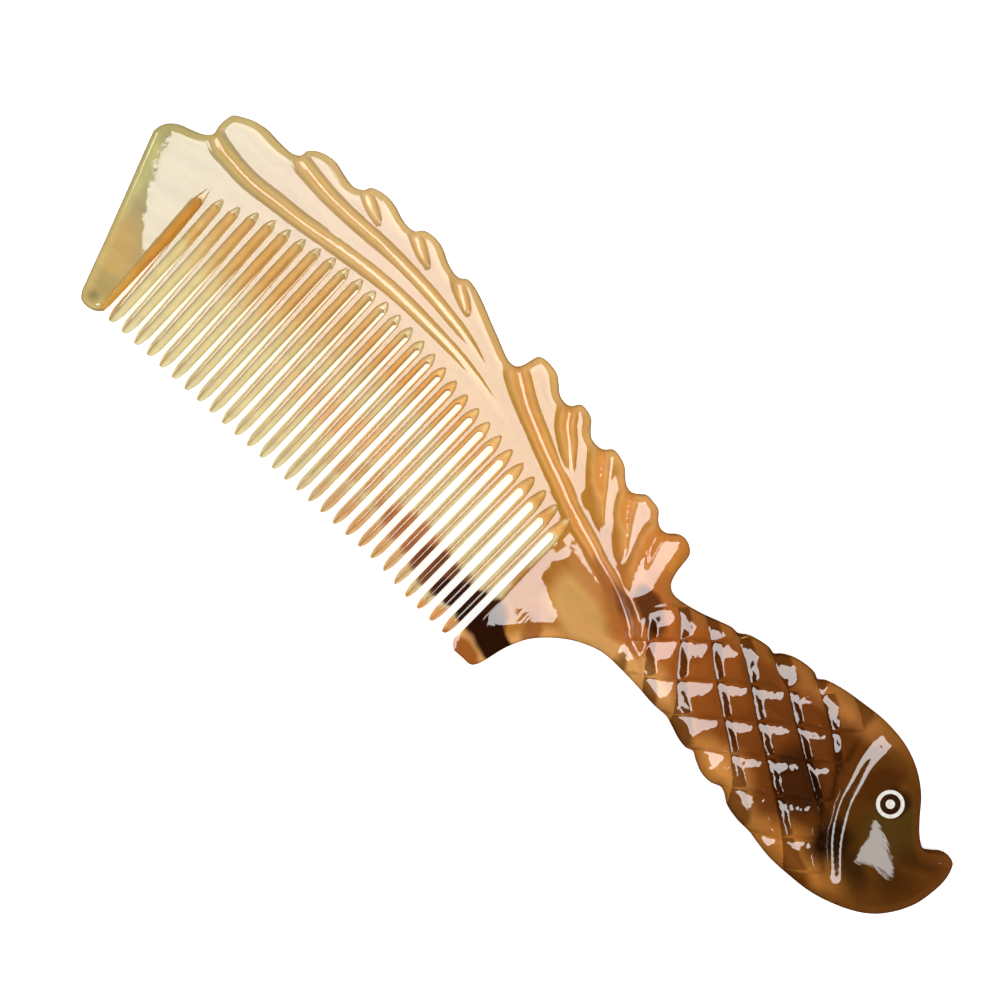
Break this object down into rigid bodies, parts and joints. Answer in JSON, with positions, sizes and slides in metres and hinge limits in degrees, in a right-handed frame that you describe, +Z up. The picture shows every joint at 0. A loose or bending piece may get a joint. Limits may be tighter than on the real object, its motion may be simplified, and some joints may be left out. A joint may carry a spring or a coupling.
{
  "type": "horn comb",
  "caption": "Handled comb cut from one piece of horn, with straight bevelled teeth, a fluted and scalloped back, a scaled handle and a fish head with an inlaid white eye.",
  "frame": {"origin": "under the middle of the comb, on the plane it rests on", "axes": "+X runs from the first tooth along the comb to the head, +Y points to the carved back, +Z up out of the carved face"},
  "size_m": [0.1896, 0.0512, 0.0066],
  "materials": {
    "horn": "polished horn, olive tan at the teeth, dark brown at the handle",
    "inlay": "polished white inlay"
  },
  "bodies": {
    "root": {"comb": "horn", "eye_ring": "inlay", "eye_dot": "inlay"}
  },
  "joints": []
}
